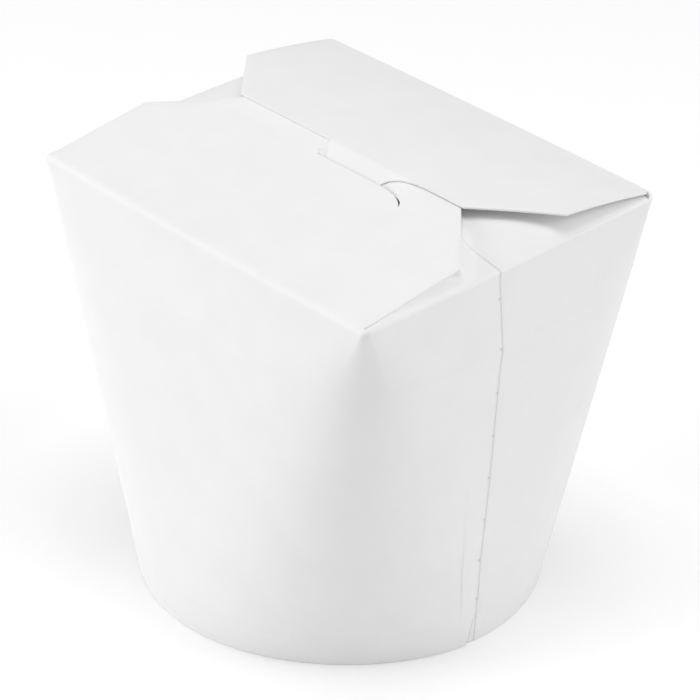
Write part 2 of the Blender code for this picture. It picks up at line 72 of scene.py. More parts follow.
# Folds round the top
NEAR_CROWN = 0.5 * MM
FAR_CROWN = 1.49 * MM
SIDE_CROWN = 0.25 * MM
MAIN_FOLD_RADIUS = 1.6 * MM
SIDE_FOLD_RADIUS = 0.8 * MM
FOLD_ROWS = 7

# Glued lap down the +X wall. Its edge's y, in millimetres, at shares of the wall's height.
# Distances across it are in millimetres too, and its groove is in lap thicknesses.
LAP_SHARES = (0.0, 0.08, 0.14, 0.25, 0.5, 0.64, 0.78, 0.86, 1.0)
LAP_YS = (-5.4, -5.45, -5.7, -6.25, -6.15, -6.4, -6.6, -6.3, -5.85)
LAP_STEP = 0.42 * MM
LAP_START_COLUMN = 0.1777
LAP_REACH = 0.45
LAP_GROOVE = 0.7
LAP_SPLIT_HEIGHT = 8.0 * MM
LAP_SPLIT_WIDTH = 1.3 * MM
NICK_PITCH = 11.2 * MM
NICK_COUNT = 8
NICK_TOP = 90.6 * MM
NICK_HALF_HEIGHT = 0.35 * MM

# Foot: board turned in under the rim and up inside, over the skirt of the base board
RIM_WIDTH = 1.4 * MM
RIM_ROUND = 0.45 * MM
CRIMP_HEIGHT = 7.9 * MM
CRIMP_STEP = 0.11 * MM
CRIMP_WANDER = 0.3 * MM
CRIMP_SPREAD = 0.3 * MM
LOWEST_RING = 0.02 * MM
BASE_SKIRT_INSET = 0.48 * MM

# Lower flap
NEAR_HALF_WIDTH = 49.8 * MM
NEAR_SIDE_LENGTH = 28.0 * MM
NEAR_LENGTH = 50.0 * MM
NEAR_SLOPE = 0.155
NEAR_CURVATURE = 0.8
SLIT_LEFT_X = -5.2 * MM
SLIT_RIGHT_X = 24.0 * MM
SLIT_DISTANCE = 38.9 * MM
SLIT_BEND_X = 14.5 * MM
SLIT_OPENING = 0.32 * MM
LEFT_CREASE_DISTANCE = 39.6 * MM
RIGHT_CREASE_DISTANCE = 34.0 * MM
LEFT_STRIP_SLOPE = 0.17
LEFT_STRIP_LIFT = 16.0
RIGHT_STRIP_SLOPE = 0.14

# Upper flap and its tongue
FAR_HALF_WIDTH = 50.2 * MM
FAR_SIDE_LENGTH = 27.4 * MM
FAR_LENGTH = 42.5 * MM
FAR_SLOPE = 0.215
FAR_CURVATURE = 2.2
TONGUE_LEFT_X = -5.9 * MM
TONGUE_LEFT_END_X = -2.2 * MM
TONGUE_PRESS = 1.6 * MM
TONGUE_RIGHT_X = 14.0 * MM
TONGUE_SHOULDER_X = 26.0 * MM
TONGUE_SHOULDER_DEPTH = 4.5 * MM
TONGUE_LENGTH = 8.5 * MM
TONGUE_SLOPE = 0.56
TONGUE_BEND = 0.75 * MM

# Side gussets: low beside the lower flap, twisted up towards the upper flap, with a web that
# stands up to the lower flap's side and chamfered edges
GUSSET_RISE = {1.0: 5.3 * MM, -1.0: 4.2 * MM}
GUSSET_LOW_SLOPE = 0.10
GUSSET_HIGH_SLOPE = 1.0
GUSSET_TWIST_Y = (-11.0 * MM, 20.0 * MM)
SIDE_WEB_SPREAD = 0.45 * MM
CHAMFER_WEB_SPREAD = 1.2 * MM
WEB_TURN_Y = (-17.0 * MM, -12.0 * MM)
WEB_FADE_Y = (-7.0 * MM, -1.0 * MM)
UNDER_LOWER_CLEARANCE = 0.2 * MM
UNDER_UPPER_CLEARANCE = 0.3 * MM
GUSSET_STEPS = (0.15, 0.3, 0.5, 0.7, 0.9, 1.1, 1.35, 1.7, 2.1, 2.6, 3.2, 3.9, 4.7, 5.6, 6.6, 7.7, 9.0, 10.5,
                12.2, 14.0, 16.0, 18.0, 20.0, 20.8)

# Pits where the folds meet at the corners
PIT_INSET = 0.15 * MM
PIT_DEPTH = 0.7 * MM

# Finish of the board
SHEEN = 0.22
TOOTH_RELIEF = 0.01 * MM
FIBRE_RELIEF = 0.03 * MM

# Light: name, place, size and power of each soft lamp
FLOOR_GLOW = 0.126
WORLD_LIGHT = 0.34
LAMPS = (
    ("soft_front_left", (-0.63, -1.09, 0.5), 0.7, 2.4),
    ("soft_left", (-0.89, -0.89, 0.5), 0.7, 4.6),
    ("soft_left_low", (-0.89, -0.89, 0.2), 0.7, 1.05),
    ("soft_back_right", (0.9, 0.9, 0.6), 0.7, 4.1),
    ("soft_top", (0.0, 0.0, 1.5), 0.7, 7.6),
    ("soft_top_right", (0.8, 0.2, 1.2), 0.7, 2.6),
)

# Camera, at the photo's viewing angle
CAMERA_TURN = 0.8082
CAMERA_TILT = 0.5474
CAMERA_ROLL = 0.0175
CAMERA_DISTANCE = 0.7338
CAMERA_ASIDE = 2.142 * MM
CAMERA_UP = 44.76 * MM
LENS = 162.49
SENSOR = 36.0

foot_angles = np.linspace(-0.1, 2.0 * math.pi + 0.1, 4001)
foot_swing = 4.0 * FOOT_SQUARENESS * np.sin(4.0 * foot_angles)
foot_normals = foot_angles + np.arctan(foot_swing / (1.0 + FOOT_SQUARENESS * np.cos(4.0 * foot_angles)))


def smoothstep(value):
    value = min(1.0, max(0.0, value))
    return value * value * (3.0 - 2.0 * value)


# Outlines of the foot and the top, by the direction of their outward normal

def foot_point(normal_angle):
    angle = np.interp(normal_angle, foot_normals, foot_angles)
    radius = FOOT_RADIUS * (1.0 + FOOT_SQUARENESS * math.cos(4.0 * angle))
    return np.array([radius * math.cos(angle), radius * math.sin(angle)])


def top_point(column):
    """Point and normal direction of the top outline: a faintly bowed side, then a round corner."""
    quarter, share = int(column // 1) % 4, column % 1.0
    out_distance, half_length = ((TOP_HALF_X, TOP_HALF_Y), (TOP_HALF_Y, TOP_HALF_X))[quarter % 2]
    centre_out = out_distance - TOP_CORNER_RADIUS
    centre_along = half_length - TOP_CORNER_RADIUS
    if share < SIDE_SHARE:
        local = EDGE_BOW * (2.0 * share / SIDE_SHARE - 1.0)
        bow_radius = centre_along / math.sin(EDGE_BOW) + TOP_CORNER_RADIUS
        end_out = centre_out + TOP_CORNER_RADIUS * math.cos(EDGE_BOW)
        out = end_out + bow_radius * (math.cos(local) - math.cos(EDGE_BOW))
        along = bow_radius * math.sin(local)
    else:
        local = EDGE_BOW + (share - SIDE_SHARE) / (1.0 - SIDE_SHARE) * (math.pi / 2.0 - 2.0 * EDGE_BOW)
        out = centre_out + TOP_CORNER_RADIUS * math.cos(local)
        along = centre_along + TOP_CORNER_RADIUS * math.sin(local)
    side = quarter * math.pi / 2.0
    outward = np.array([math.cos(side), math.sin(side)])
    sideways = np.array([-math.sin(side), math.cos(side)])
    return out * outward + along * sideways, (side + local) % (2.0 * math.pi)


def crown_height(normal_angle):
    end_share = math.cos(normal_angle) ** 2
    main = FAR_CROWN if math.sin(normal_angle) > 0.0 else NEAR_CROWN
    return FOLD_HEIGHT + SIDE_CROWN * end_share + main * (1.0 - end_share)


def fold_radius(normal_angle):
    end_share = math.cos(normal_angle) ** 2
    return SIDE_FOLD_RADIUS * end_share + MAIN_FOLD_RADIUS * (1.0 - end_share)


# Walls between foot and top: the board's stiffness spreads every bend along its cross-section

def end_outlines():
    columns = np.arange(OUTLINE_STEPS) * 4.0 / OUTLINE_STEPS - 1.0
    top = [top_point(column % 4.0) for column in columns]
    foot = np.array([foot_point(angle) for _, angle in top])
    normals = np.array([(math.cos(angle), math.sin(angle)) for _, angle in top])
    return foot, np.array([place for place, _ in top]), normals


def side_bulge(places, share):
    angles = np.arctan2(np.abs(places[:, 1]), np.abs(places[:, 0]))
    from_middle = np.minimum(1.0, angles / math.atan2(TOP_HALF_Y, TOP_HALF_X))
    return SIDE_BULGE * math.sin(math.pi * share ** BULGE_SKEW) * (1.0 - from_middle ** 2)


def spread_bends(places, spread):
    if spread < WELD:
        return places
    closed = np.vstack([places, places[:1]])
    along = np.concatenate([[0.0], np.cumsum(np.hypot(*np.diff(closed, axis=0).T))])
    even = np.arange(EVEN_STEPS + 1) * along[-1] / EVEN_STEPS
    line = np.interp(even, along, closed[:, 0]) + 1j * np.interp(even, along, closed[:, 1])
    waves = np.fft.fftfreq(EVEN_STEPS, along[-1] / EVEN_STEPS)
    eased = np.fft.ifft(np.fft.fft(line[:-1]) * np.exp(-2.0 * (math.pi * waves * spread) ** 2))
    eased = np.append(eased, eased[0])
    across, lengthways = [np.interp(along[:-1], even, part) for part in (eased.real, eased.imag)]
    return np.stack([across, lengthways], axis=1)


def wall_outline(share):
    """Outline of the walls at this share of their height, keeping its reach at the corners."""
    foot, top, normals = ends
    straight = foot * (1.0 - share) + top * share
    bulged = straight + normals * side_bulge(straight, share)[:, None]
    spread = min(BEND_SPREAD, SPREAD_BELOW_FOLD * (1.0 - share), SPREAD_ABOVE_FOOT * share)
    eased = spread_bends(bulged, spread)
    corner = np.array([math.cos(CORNER_DIRECTION), math.sin(CORNER_DIRECTION)])
    return eased * (straight @ corner).max() / (eased @ corner).max()


def wall_place(column, share):
    """Place, outward normal and fold direction of a column at this share of the wall's height."""
    if share not in outlines:
        outlines[share] = wall_outline(share)
    outline = outlines[share]
    position = ((column + 1.0) % 4.0) * OUTLINE_STEPS / 4.0
    index = int(position)
    part = position - index
    before, here, after, later = [outline[(index + step) % OUTLINE_STEPS] for step in (-1, 0, 1, 2)]
    tangent = (after - before) * (1.0 - part) + (later - here) * part
    normal = np.array([tangent[1], -tangent[0]]) / np.linalg.norm(tangent)
    return here + (after - here) * part, normal, top_point(column % 4.0)[1]


ends = end_outlines()
outlines = {}


# Stations round the ring. Each is a plain column, or one of the close-set ones along the lap's edge

def near_crossings():
    """Where the lower flap's columns cross its creases and slit, from -X to +X."""
    left_end = -(NEAR_HALF_WIDTH - (LEFT_CREASE_DISTANCE - NEAR_SIDE_LENGTH))
    right_end = NEAR_HALF_WIDTH - (RIGHT_CREASE_DISTANCE - NEAR_SIDE_LENGTH)
    close_set = SLIT_LEFT_X - 3.0 * MM
    left = list(np.linspace(left_end, close_set, 12))
    left += list(np.linspace(close_set, SLIT_LEFT_X, 7))[1:]
    press = list(np.linspace(SLIT_LEFT_X, TONGUE_LEFT_END_X, 9))[1:]
    straight = list(np.linspace(TONGUE_LEFT_END_X, SLIT_BEND_X, 12))[1:]
    turns = [math.sin(0.5 * math.pi * i / 20) for i in range(1, 21)]
    curve = [SLIT_BEND_X + (SLIT_RIGHT_X - SLIT_BEND_X) * turn for turn in turns]
    right = list(np.linspace(SLIT_RIGHT_X, right_end, 10))[1:]
    return left + press + straight + curve + right


def far_places():
    """Where the upper flap's columns stand along its free edge, from +X to -X."""
    end = FAR_HALF_WIDTH - (FAR_LENGTH - FAR_SIDE_LENGTH)
    right = list(np.linspace(end, TONGUE_SHOULDER_X, 8))[:-1]
    tongue = list(np.linspace(TONGUE_SHOULDER_X, TONGUE_LEFT_X, 30))
    left = list(np.linspace(TONGUE_LEFT_X, -end, 16))[1:]
    return right + tongue + left


def near_x(crossing, distance):
    side = math.copysign(1.0, crossing)
    anchor, crease = ((SLIT_LEFT_X, LEFT_CREASE_DISTANCE), (SLIT_RIGHT_X, RIGHT_CREASE_DISTANCE))[side > 0]
    if side * crossing <= side * anchor:
        return crossing
    crease_edge = side * (NEAR_HALF_WIDTH - max(0.0, crease - NEAR_SIDE_LENGTH))
    edge = side * (NEAR_HALF_WIDTH - max(0.0, distance - NEAR_SIDE_LENGTH))
    return anchor + (edge - anchor) * (crossing - anchor) / (crease_edge - anchor)


def far_x(place, distance):
    end = FAR_HALF_WIDTH - (FAR_LENGTH - FAR_SIDE_LENGTH)
    return place / end * (FAR_HALF_WIDTH - max(0.0, distance - FAR_SIDE_LENGTH))


def ring_stations():
    """Stations in order round the ring, as (part, value): near flap first, then round by +X."""
    stations = [("near", crossing) for crossing in near_crossings()]
    corner = [SIDE_SHARE + (1.0 - SIDE_SHARE) * i / CORNER_COLUMNS for i in range(1, CORNER_COLUMNS)]
    side = [SIDE_SHARE * i / RIGHT_COLUMNS for i in range(RIGHT_COLUMNS + 1)]
    hidden_side = [2.0 + SIDE_SHARE * i / LEFT_COLUMNS for i in range(LEFT_COLUMNS + 1)]
    stations += [("corner_b", -1.0 + share) for share in corner]
    before_lap = LAP_START_COLUMN - LEFT_OUT_BEFORE_LAP * side[1]
    after_lap = LAP_START_COLUMN + LEFT_OUT_AFTER_LAP * side[1]
    stations += [("right", share) for share in side if share < before_lap]
    stations += [("lap", index) for index in range(len(lap_profile(0.0)))]
    stations += [("right", share) for share in side if share > after_lap]
    stations += [("corner_c", share) for share in corner]
    stations += [("far", place) for place in far_places()]
    stations += [("corner_d", 1.0 + share) for share in corner]
    stations += [("left", share) for share in hidden_side]
    stations += [("corner_a", 2.0 + share) for share in corner]
    return stations


def station_column(station):
    part, value = station
    straight_half = TOP_HALF_X - TOP_CORNER_RADIUS
    if part == "near":
        along = near_x(value, 0.0) / NEAR_HALF_WIDTH * straight_half
        return -1.0 + SIDE_SHARE * 0.5 * (1.0 + along / straight_half)
    if part == "far":
        along = far_x(value, 0.0) / FAR_HALF_WIDTH * straight_half
        return 1.0 + SIDE_SHARE * 0.5 * (1.0 - along / straight_half)
    return value


def lap_profile(height):
    """Points across the lap's edge: distance from it, and stand-out in lap thicknesses. Near the foot
    the upper board ends a little early, and the edge of the board under it shows beside its own."""
    split = LAP_SPLIT_WIDTH * min(1.0, max(0.0, 1.0 - height / LAP_SPLIT_HEIGHT)) / MM
    shelf = -LAP_GROOVE + 0.4 * min(1.0, split / 0.2)
    upper = min(1.0, height / FOLD_HEIGHT)
    left_room, right_room = 2.1 - split + 6.4 * upper, 0.75 + 4.3 * upper
    before = [(-1.5 - left_room * part / 5.0, 1.0 - 0.005 * part) for part in (4, 3, 2, 1)]
    after = [(1.6 + split + right_room * part / 3.0, 0.0) for part in (1, 2)]
    edge = [(-1.5, 1.0), (-0.6, 1.0), (-0.15, 0.98), (-0.04, 0.9), (0.0, 0.6), (0.02, -LAP_GROOVE)]
    floor = [(0.8, -LAP_GROOVE), (0.84, shelf), (0.85 + split, shelf), (0.89 + split, -LAP_GROOVE)]
    rise = [(1.25 + split, -LAP_GROOVE), (1.38 + split, -0.1), (1.6 + split, 0.0)]
    return [(distance - split, lift) for distance, lift in before + edge + floor + rise + after]


def nick_strength(height):
    """One where a nick crosses the lap's edge, nothing elsewhere."""
    nearest = min(abs(height - (NICK_TOP - NICK_PITCH * index)) for index in range(NICK_COUNT))
    return max(0.0, 1.0 - nearest / NICK_HALF_HEIGHT)


def ring_places(stations, share, height=0.0):
    """For each station: place on the wall, outward normal, fold direction and stand-out."""
    columns = np.linspace(-0.5, 0.5 + SIDE_SHARE, 141)
    across = [wall_place(column, share)[0][1] for column in columns]
    lap_y = float(np.interp(share, LAP_SHARES, LAP_YS)) * MM
    shift = float(np.interp(lap_y, across, columns)) - LAP_START_COLUMN
    nick = nick_strength(height)
    profile = lap_profile(height)
    places = []
    for station in stations:
        if station[0] == "lap":
            distance, lift = profile[station[1]]
            column = float(np.interp(lap_y + distance * MM, across, columns))
            if lift < 0.0:
                lift *= 1.0 + 1.2 * nick
                distance += 0.4 * nick * (1.0 if distance > 0.5 else 0.0)
            stand_out = LAP_STEP * lift
        else:
            column = station_column(station)
            pull = max(0.0, 1.0 - abs(column - LAP_START_COLUMN) / LAP_REACH)
            stand_out = LAP_STEP * smoothstep(pull) if column < LAP_START_COLUMN else 0.0
            column += shift * pull
        places.append((*wall_place(column, share), stand_out))
    return places


# Heights of the flaps over the folds

def near_surface(distance):
    run = distance - MAIN_FOLD_RADIUS
    return NEAR_CROWN + NEAR_SLOPE * run - NEAR_CURVATURE * run * run


def far_surface(distance):
    run = min(distance, FAR_LENGTH) - MAIN_FOLD_RADIUS
    past = max(0.0, distance - FAR_LENGTH)
    dive = TONGUE_SLOPE * (past - TONGUE_BEND * (1.0 - math.exp(-past / TONGUE_BEND)))
    return FAR_CROWN + FAR_SLOPE * run - FAR_CURVATURE * run * run - dive


def slit_line(x):
    if x <= SLIT_LEFT_X:
        return LEFT_CREASE_DISTANCE
    if x >= SLIT_RIGHT_X:
        return RIGHT_CREASE_DISTANCE
    if x <= SLIT_BEND_X:
        return SLIT_DISTANCE
    turn = (x - SLIT_BEND_X) / (SLIT_RIGHT_X - SLIT_BEND_X)
    drop = 1.0 - math.sqrt(max(0.0, 1.0 - turn ** 2))
    return SLIT_DISTANCE - (SLIT_DISTANCE - RIGHT_CREASE_DISTANCE) * drop


def slit_gap(x):
    """How far the strip's lip of the slit stands off the panel's lip: aside, and beyond it."""
    turn = max(0.0, (x - SLIT_BEND_X) / (SLIT_RIGHT_X - SLIT_BEND_X))
    across = turn / (SLIT_RIGHT_X - SLIT_BEND_X)
    along = math.sqrt(1.0 - turn * turn) / (SLIT_DISTANCE - RIGHT_CREASE_DISTANCE)
    length = math.hypot(across, along)
    aside, beyond = across / length, along / length
    opening = CLEARANCE + (SLIT_OPENING - CLEARANCE) * smoothstep(1.4 * turn)
    opening *= 1.0 - 0.9 * smoothstep((turn - 0.8) / 0.2)
    if aside > 0.0:
        opening = min(opening, 0.8 * (SLIT_RIGHT_X - x) / aside)
    return opening * aside, opening * beyond


def strip_surface(x, distance):
    """Height of the lower flap past its creases, where it lies under the upper flap."""
    run = max(0.0, distance - LEFT_CREASE_DISTANCE)
    left = near_surface(LEFT_CREASE_DISTANCE) + LEFT_STRIP_SLOPE * run + LEFT_STRIP_LIFT * run * run
    right = near_surface(RIGHT_CREASE_DISTANCE) + RIGHT_STRIP_SLOPE * (distance - RIGHT_CREASE_DISTANCE)
    far = 2.0 * TOP_HALF_Y - distance
    under_tongue = far_surface(far) - BOARD - 2.0 * TOUCH
    under_panel = far_surface(min(far, FAR_LENGTH)) - BOARD - TOUCH
    edge = tongue_left_edge(far - FAR_LENGTH)
    pressed = smoothstep((x - edge + TONGUE_PRESS) / (TONGUE_PRESS - CLEARANCE))
    released = smoothstep((x - SLIT_BEND_X) / (SLIT_RIGHT_X - SLIT_BEND_X))
    middle = left + (under_tongue - left) * pressed
    return min(middle + (right - middle) * released, under_panel)


def tongue_left_edge(past):
    share = min(1.0, max(0.0, past / (2.0 * TOP_HALF_Y - FAR_LENGTH - SLIT_DISTANCE)))
    return TONGUE_LEFT_X + (TONGUE_LEFT_END_X - TONGUE_LEFT_X) * share


def tongue_right_edge(past):
    if past >= TONGUE_SHOULDER_DEPTH:
        return TONGUE_RIGHT_X
    turn = 1.0 - past / TONGUE_SHOULDER_DEPTH
    return TONGUE_SHOULDER_X - (TONGUE_SHOULDER_X - TONGUE_RIGHT_X) * math.sqrt(1.0 - turn * turn)


# Gussets

def under_lower_flap(side, y):
    """Height under the lower flap and its strip, a little clear of them."""
    crease = (LEFT_CREASE_DISTANCE, RIGHT_CREASE_DISTANCE)[side > 0]
    slope = (LEFT_STRIP_SLOPE, RIGHT_STRIP_SLOPE)[side > 0]
    distance = min(y + TOP_HALF_Y, NEAR_LENGTH)
    height = near_surface(min(distance, crease)) + slope * max(0.0, distance - crease)
    return height - BOARD - UNDER_LOWER_CLEARANCE


def under_upper_flap(y):
    return far_surface(min(TOP_HALF_Y - y, FAR_LENGTH)) - BOARD - UNDER_UPPER_CLEARANCE


def beside_lower_flap(x, y):
    """How far a place lies outside the lower flap's side and chamfered edges."""
    chamfer = (x + y + TOP_HALF_Y - NEAR_HALF_WIDTH - NEAR_SIDE_LENGTH) / math.sqrt(2.0)
    return max(0.0, x - NEAR_HALF_WIDTH, chamfer, y + TOP_HALF_Y - NEAR_LENGTH)


def gusset_slope(y):
    low, high = GUSSET_TWIST_Y
    return GUSSET_LOW_SLOPE + (GUSSET_HIGH_SLOPE - GUSSET_LOW_SLOPE) * smoothstep((y - low) / (high - low))


def web_spread(y):
    low, high = WEB_TURN_Y
    return SIDE_WEB_SPREAD + (CHAMFER_WEB_SPREAD - SIDE_WEB_SPREAD) * smoothstep((y - low) / (high - low))


def gusset_fold_turn(side, y):
    """How far the board turns in the gusset's fold before it runs on up."""
    out = beside_lower_flap(TOP_HALF_X - 0.3 * MM, y)
    spread = web_spread(y)
    web = (under_lower_flap(side, y) - SIDE_CROWN) / spread * math.exp(-out / spread)
    return math.pi / 2.0 - math.atan(gusset_slope(y) + web)


def gusset_height(side, inward, y):
    """Height over FOLD_HEIGHT of a gusset, at a distance inward from the end of its fold's turn."""
    turn = gusset_fold_turn(side, y)
    start = SIDE_CROWN - SIDE_FOLD_RADIUS * (1.0 - math.sin(turn))
    fold_end = TOP_HALF_X - SIDE_FOLD_RADIUS * (1.0 - math.cos(turn))
    ceiling = max(0.02 * MM, min(GUSSET_RISE[side], under_upper_flap(y) - start))
    plain = start + ceiling * (1.0 - math.exp(-gusset_slope(y) * inward / ceiling))
    spread = web_spread(y)
    here = math.exp(-beside_lower_flap(fold_end - inward, y) / spread)
    edge = math.exp(-beside_lower_flap(fold_end, y) / spread)
    web = (here - edge) / (1.0 - edge) if edge < 0.999 else 0.0
    low, high = WEB_FADE_Y
    web *= 1.0 - smoothstep((y - low) / (high - low))
    top = min(under_lower_flap(side, y), under_upper_flap(y))
    return plain + (top - plain) * web


# Sheet of board, drawn row by row in edit mode

def deselect_everything():
    bpy.ops.object.select_all(action="DESELECT")


def edit_board(piece):
    return bmesh.from_edit_mesh(piece.data)


def start_ring(name, places):
    """A circle whose points are set out round the ring, left selected in edit mode."""
    deselect_everything()
    bpy.ops.mesh.primitive_circle_add(vertices=len(places), radius=FOOT_RADIUS)
    piece = bpy.context.object
    piece.name = name
    piece.data.name = name
    bpy.ops.object.mode_set(mode="EDIT")
    bpy.ops.mesh.select_mode(type="VERT")
    bpy.ops.mesh.select_all(action="SELECT")
    board = edit_board(piece)
    column = board.verts.layers.int.new("column")
    board.verts.layers.int.new("row")
    for index, vertex in enumerate(board.verts):
        vertex[column] = index
        vertex.co = places[index]
    bmesh.update_edit_mesh(piece.data)
    return piece


def draw_row(piece, row, places):
    """Extrude the selected edge and set each new point in its place, by its column."""
    bpy.ops.mesh.extrude_region_move()
    board = edit_board(piece)
    column, rows = board.verts.layers.int["column"], board.verts.layers.int["row"]
    for vertex in board.verts:
        if vertex.select:
            vertex[rows] = row
            vertex.co = places[vertex[column]]
    bmesh.update_edit_mesh(piece.data)


def select_row(piece, row, columns):
    bpy.ops.mesh.select_all(action="DESELECT")
    board = edit_board(piece)
    column, rows = board.verts.layers.int["column"], board.verts.layers.int["row"]
    for vertex in board.verts:
        vertex.select = vertex[rows] == row and vertex[column] in columns
    board.select_flush(True)
    bmesh.update_edit_mesh(piece.data)


def finish_sheet(piece, materials):
    """Give the sheet its thickness, soften its cut edges and shade it."""
    bpy.ops.mesh.select_all(action="SELECT")
    bpy.ops.mesh.remove_doubles(threshold=MERGE_DISTANCE)
    bpy.ops.mesh.normals_make_consistent(inside=False)
    bpy.ops.object.mode_set(mode="OBJECT")
    for material in materials:
        piece.data.materials.append(material)
    thickness = piece.modifiers.new("board_thickness", "SOLIDIFY")
    thickness.thickness = BOARD
    thickness.offset = -1.0
    thickness.use_quality_normals = True
    thickness.material_offset_rim = 1
    bpy.ops.object.modifier_apply(modifier=thickness.name)
    bpy.ops.object.mode_set(mode="EDIT")
    for upper, rounding in ((False, UNDER_EDGE_ROUND), (True, TOP_EDGE_ROUND)):
        bpy.ops.mesh.select_mode(type="EDGE")
        bpy.ops.mesh.select_all(action="DESELECT")
        board = edit_board(piece)
        for edge in board.edges:
            cut = len({face.material_index for face in edge.link_faces}) == 2
            tops = [face.normal.z > 0.5 for face in edge.link_faces if face.material_index == 0]
            place = edge.verts[0].co
            away = math.hypot(place.x - SLIT_RIGHT_X, place.y + TOP_HALF_Y - RIGHT_CREASE_DISTANCE)
            clear = away > SQUARE_NEAR_SLIT_END and abs(place.y) < TOP_HALF_Y - SQUARE_NEAR_FOLD
            edge.select = cut and any(tops) == upper and clear
        bmesh.update_edit_mesh(piece.data)
        bpy.ops.mesh.bevel(offset=rounding, segments=2, affect="EDGES", clamp_overlap=False)
    bpy.ops.object.mode_set(mode="OBJECT")
    bpy.ops.object.shade_smooth_by_angle(angle=SMOOTH_ANGLE)


# Carton

def wall_heights():
    foot = [0.55, 1.0, 1.7, 2.6, 3.7, 4.9, 6.0, 6.7, 7.1, 7.3, 7.5, 7.7, 7.9, 8.1, 8.3, 8.5, 8.8, 9.3, 10.2,
            11.4, 13.0]
    heights = [height * MM for height in foot] + list(np.linspace(15.0 * MM, 94.6 * MM, 34))
    for index in range(NICK_COUNT):
        middle = NICK_TOP - NICK_PITCH * index
        heights = [height for height in heights if abs(height - middle) > 0.7 * MM]
        heights += [middle + step * MM for step in (-0.36, -0.18, 0.0, 0.18, 0.36)]
    return sorted(heights)


def crimp_step(height, angle):
    """Over the top of the turned-in board the wall stands out a little, along a wandering line."""
    wander = 0.6 * math.sin(3.0 * angle + 1.1) + 0.3 * math.sin(13.0 * angle) + 0.2 * math.sin(29.0 * angle)
    press = 0.65 + 0.35 * math.cos(angle + 0.1) * math.cos(2.0 * angle)
    line = CRIMP_HEIGHT + CRIMP_WANDER * wander
    return CRIMP_STEP * press * math.exp(-((height - line) / CRIMP_SPREAD) ** 2)


def wall_ring(stations, height):
    share = height / FOLD_HEIGHT
    ring = []
    for place, normal, angle, stand_out in ring_places(stations, share, height):
        offset = stand_out + crimp_step(height, angle) - CRIMP_STEP
        ceiling = crown_height(angle) - fold_radius(angle)
        ring.append((*(place + normal * offset), ceiling * share))
    return ring


def foot_rings(stations):
    """Rings from the top of the turned-in board, down inside it and round the rim."""
    rings = []
    around = [(RIM_WIDTH, height * MM) for height in (6.4, 6.0, 4.6, 3.0, 1.6, 0.9)]
    for turn in (0.0, 30.0, 60.0, 90.0):
        angle = math.radians(turn)
        around.append((RIM_WIDTH - RIM_ROUND * (1.0 - math.cos(angle)), RIM_ROUND * (1.0 - math.sin(angle))))
    for turn in (90.0, 60.0, 30.0, 0.0):
        angle = math.radians(turn)
        around.append((RIM_ROUND * (1.0 - math.cos(angle)), RIM_ROUND * (1.0 - math.sin(angle))))
    for inset, height in around:
        ring = []
        for place, normal, _, stand_out in ring_places(stations, 0.0):
            lift = stand_out * (1.0 - 2.0 * inset / RIM_WIDTH)
            ring.append((*(place + normal * (lift - inset)), max(height, LOWEST_RING)))
        rings.append(ring)
    return rings


def fold_end_turn(part, y):
    """How far the board turns at the top: into a flap, a gusset, or from one to the other."""
    flaps = {"near": NEAR_SLOPE, "corner_a": NEAR_SLOPE, "corner_b": NEAR_SLOPE}
    if part in ("right", "lap", "left"):
        return gusset_fold_turn(1.0 if part != "left" else -1.0, y)
    return math.pi / 2.0 - math.atan(flaps.get(part, FAR_SLOPE))


def fold_rings(stations):
    rings = []
    tops = ring_places(stations, 1.0, FOLD_HEIGHT)
    for row in range(FOLD_ROWS + 1):
        ring = []
        for station, (place, normal, angle, stand_out) in zip(stations, tops):
            turn = fold_end_turn(station[0], place[1]) * row / FOLD_ROWS
            radius = fold_radius(angle)
            inward = radius * (1.0 - math.cos(turn)) - stand_out * math.cos(turn)
            height = crown_height(angle) - radius * (1.0 - math.sin(turn)) + stand_out * math.sin(turn)
            ring.append((*(place - normal * inward), height))
        rings.append(ring)
    return rings


def draw_near_flap(piece, stations, row):
    """The lower flap: its panel up to the creases and slit, then the strip past them."""
    columns = {index: value for index, (part, value) in enumerate(stations) if part == "near"}
    select_row(piece, row, columns)
    start = MAIN_FOLD_RADIUS
    shares = [0.03, 0.08, 0.15, 0.24, 0.33, 0.42, 0.51, 0.6]
    shares += [(NEAR_SIDE_LENGTH - start) / (crease - start)
               for crease in (LEFT_CREASE_DISTANCE, RIGHT_CREASE_DISTANCE)]
    shares += [0.9, 0.95, 0.98, 1.0]
    for share in shares:
        row += 1
        places = {}
        for index, crossing in columns.items():
            distance = start + (slit_line(crossing) - start) * share
            places[index] = (near_x(crossing, distance), distance - TOP_HALF_Y,
                             FOLD_HEIGHT + near_surface(distance))
        draw_row(piece, row, places)
    panel_end = row
    for share in (0.0, 0.06, 0.14, 0.25, 0.38, 0.52, 0.68, 0.84, 1.0):
        row += 1
        places = {}
        for index, crossing in columns.items():
            cut = SLIT_LEFT_X < crossing < SLIT_RIGHT_X
            aside, beyond = slit_gap(crossing) if cut else (0.0, 0.0)
            first = slit_line(crossing) + beyond
            distance = first + (NEAR_LENGTH - first) * share
            x = near_x(crossing + aside, distance)
            height = strip_surface(x, distance)
            if share == 0.0 and not cut:
                height = near_surface(distance)
            places[index] = (x, distance - TOP_HALF_Y, FOLD_HEIGHT + height)
        draw_row(piece, row, places)
    open_slit(piece, panel_end, columns)
    return row


